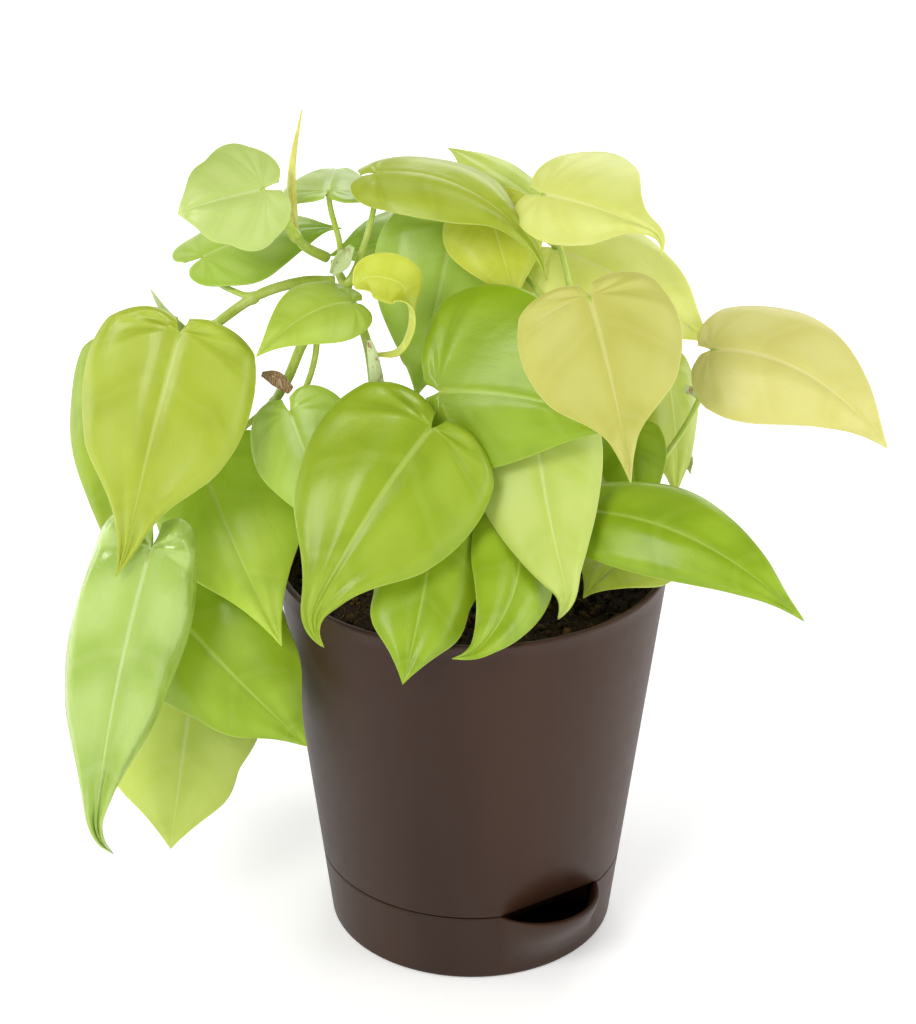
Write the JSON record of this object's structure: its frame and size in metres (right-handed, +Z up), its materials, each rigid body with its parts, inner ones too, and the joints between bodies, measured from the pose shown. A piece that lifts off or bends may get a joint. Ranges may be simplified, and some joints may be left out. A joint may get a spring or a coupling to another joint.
{
  "type": "potted houseplant",
  "caption": "Bushy heart-leaved climbing plant with lime leaves and trailing stems in a tapered pot with a clip-on water reservoir and a filling lip at the front.",
  "frame": {"origin": "middle of the flat underside of the pot, where it stands", "axes": "+Z up; -Y is the front, the side the plant is seen from; +X to the right seen from the front; the filling mouth lies 33 degrees from -Y towards +X"},
  "size_m": [0.2375, 0.1506, 0.264],
  "materials": {
    "pot_plastic": "satin",
    "potting_mix": "rough, granular",
    "leaf_mature": "waxy, glossy",
    "leaf_young": "waxy, glossy",
    "stem": "satin",
    "sheath_green": "satin",
    "sheath_dry": "papery"
  },
  "bodies": {
    "root": {"pot_upper": "pot_plastic", "pot_reservoir": "pot_plastic", "potting_soil": "potting_mix", "leaf_left_front": "leaf_mature", "leaf_left_behind": "leaf_mature", "leaf_left_long": "leaf_mature", "leaf_left_low": "leaf_mature", "leaf_left_lowest": "leaf_mature", "leaf_left_shaded": "leaf_mature", "leaf_inner_left": "leaf_mature", "leaf_front_centre": "leaf_mature", "leaf_front_right_round": "leaf_mature", "leaf_front_yellow": "leaf_young", "leaf_top_yellow": "leaf_young", "leaf_crown": "leaf_mature", "leaf_crown_back": "leaf_mature", "leaf_top_right": "leaf_young", "leaf_right_back": "leaf_young", "leaf_right_reaching": "leaf_young", "leaf_right_low": "leaf_mature", "leaf_front_pale": "leaf_young", "leaf_front_low": "leaf_mature", "leaf_front_folded": "leaf_mature", "leaf_right_side": "leaf_mature", "leaf_rim_right": "leaf_mature", "leaf_top_left_round": "leaf_mature", "leaf_top_left_flat": "leaf_mature", "leaf_top_left_back": "leaf_mature", "leaf_back_upper": "leaf_mature", "leaf_centre_back": "leaf_mature", "leaf_inner_top_left": "leaf_mature", "leaf_right_shaded": "leaf_mature", "leaf_rear_1": "leaf_mature", "leaf_rear_2": "leaf_mature", "leaf_rear_3": "leaf_mature", "leaf_rear_4": "leaf_mature", "leaf_rear_5": "leaf_mature", "leaf_rear_6": "leaf_mature", "vine_centre": "stem", "vine_left_trailing": "stem", "vine_left_inner": "stem", "vine_back": "stem", "vine_right": "stem", "vine_right_low": "stem", "vine_rear_left": "stem", "vine_rear_right": "stem", "shoot_top_left": "stem", "young_leaf_curled": "leaf_young", "sheath_centre": "sheath_green", "sheath_node": "sheath_green", "sheath_dry": "sheath_dry", "scale_leaf_left": "sheath_green", "scale_leaf_right": "sheath_green", "new_leaf_rolled": "leaf_young"}
  },
  "joints": []
}
